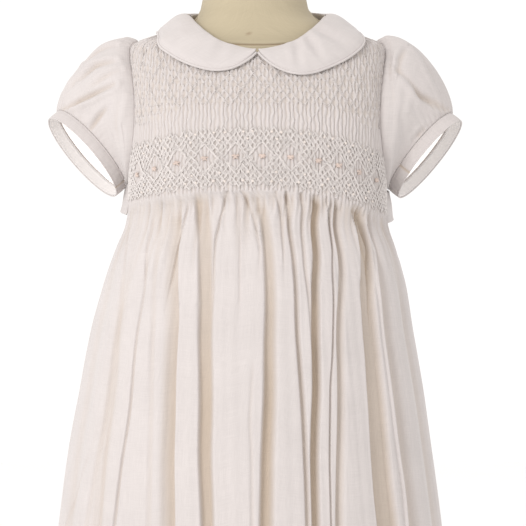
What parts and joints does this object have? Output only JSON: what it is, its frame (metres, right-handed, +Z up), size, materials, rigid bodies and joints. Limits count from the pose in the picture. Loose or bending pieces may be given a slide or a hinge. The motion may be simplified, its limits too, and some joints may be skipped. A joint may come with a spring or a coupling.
{
  "type": "toddler dress on a limbless dress form",
  "caption": "Short-sleeved toddler dress with smocked front, round collar, gathered skirt and back sash bow, worn by a limbless dress form on a round stand.",
  "frame": {"origin": "centre of the underside of the stand's round base, on the floor", "axes": "+Z up along the pole, the front of the dress faces -Y, +X to the viewer's right of the front"},
  "size_m": [0.3564, 0.2812, 0.823],
  "materials": {
    "dress_cloth": "matte off-white cotton and linen cloth, plain weave",
    "smocking_rose": "pale peach embroidery thread",
    "button_shell": "pearly off-white button",
    "form_linen": "beige linen cover, fine weave",
    "stand_wood": "light beech, satin varnish"
  },
  "bodies": {
    "root": {"dress_front": "dress_cloth", "back_left": "dress_cloth", "back_right": "dress_cloth", "back_skirt": "dress_cloth", "sleeve_left": "dress_cloth", "sleeve_right": "dress_cloth", "cuff_left": "dress_cloth", "cuff_right": "dress_cloth", "collar_left": "dress_cloth", "collar_right": "dress_cloth", "collar_piping_left": "dress_cloth", "collar_piping_right": "dress_cloth", "sash_left": "dress_cloth", "sash_right": "dress_cloth", "bow_knot": "dress_cloth", "bow_loop_left": "dress_cloth", "bow_loop_right": "dress_cloth", "bow_tail_left": "dress_cloth", "bow_tail_right": "dress_cloth", "button_1": "button_shell", "button_2": "button_shell", "button_3": "button_shell", "form_bust": "form_linen", "form_neck_cap": "stand_wood", "form_pole": "stand_wood", "form_base": "stand_wood"}
  },
  "joints": []
}
